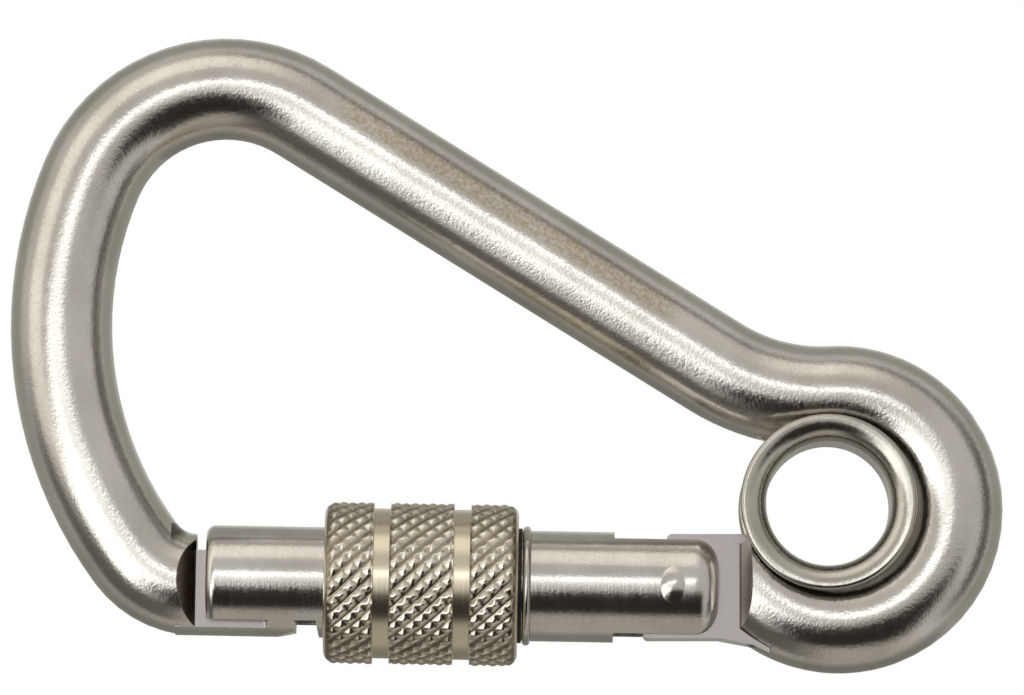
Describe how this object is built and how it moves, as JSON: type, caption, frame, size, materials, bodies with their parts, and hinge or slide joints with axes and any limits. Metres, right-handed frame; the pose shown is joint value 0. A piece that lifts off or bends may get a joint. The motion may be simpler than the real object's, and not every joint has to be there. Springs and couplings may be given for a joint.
{
  "type": "locking carabiner",
  "caption": "Asymmetric stainless snap hook with a sprung gate, a knurled screw sleeve and a flared eyelet, for clipping lines and slings to a fixed point.",
  "frame": {"origin": "centre of the eyelet's bore, at mid thickness", "axes": "+X points from the head towards the eyelet end along the gate, +Y is the eyelet bore's axis and the thin direction of the hook, +Z points from the gate towards the spine"},
  "size_m": [0.0997, 0.0162, 0.064],
  "materials": {
    "polished_stainless": "tumble polished stainless steel, warm grey",
    "eyelet_stainless": "turned and polished stainless steel",
    "gate_stainless": "turned and polished stainless steel",
    "spring_steel": "bright drawn spring steel",
    "knurled_stainless": "diamond knurled stainless steel",
    "black_rubber": "matt black rubber"
  },
  "bodies": {
    "hook": {"body": "polished_stainless", "eyelet": "eyelet_stainless"},
    "gate": {"gate": "gate_stainless", "hinge_rivet": "gate_stainless", "gate_spring": "spring_steel", "stop_ring": "spring_steel"},
    "plunger": {"spring_plunger": "spring_steel"},
    "ring_carriage": {"friction_ring": "black_rubber"},
    "sleeve": {"sleeve": "knurled_stainless"}
  },
  "joints": [
    {"name": "gate_hinge", "type": "hinge", "parent": "hook", "child": "gate", "pos_m": [-0.0156, 0, -0.0083], "axis": [0, 1, 0], "range_deg": [0, 36], "stiffness_Nm_per_rad": 0.35, "springref_deg": -34.38},
    {"name": "plunger_slide", "type": "slide", "parent": "gate", "child": "plunger", "axis": [-0.9998, 0, 0.0175], "range_m": [0, 0.00146], "deforming": ["gate_spring"]},
    {"name": "sleeve_travel", "type": "slide", "parent": "gate", "child": "ring_carriage", "axis": [-0.9998, 0, 0.0175], "range_m": [0, 0.0125]},
    {"name": "sleeve_turn", "type": "hinge", "parent": "ring_carriage", "child": "sleeve", "pos_m": [-0.0156, 0, -0.0083], "axis": [-0.9998, 0, 0.0175], "range_deg": [0, 3600]}
  ],
  "couplings": [
    {"joint": "plunger_slide", "follows": "gate_hinge", "m_per_rad": 0.0023234},
    {"joint": "sleeve_travel", "follows": "sleeve_turn", "m_per_rad": 0.00019894}
  ]
}
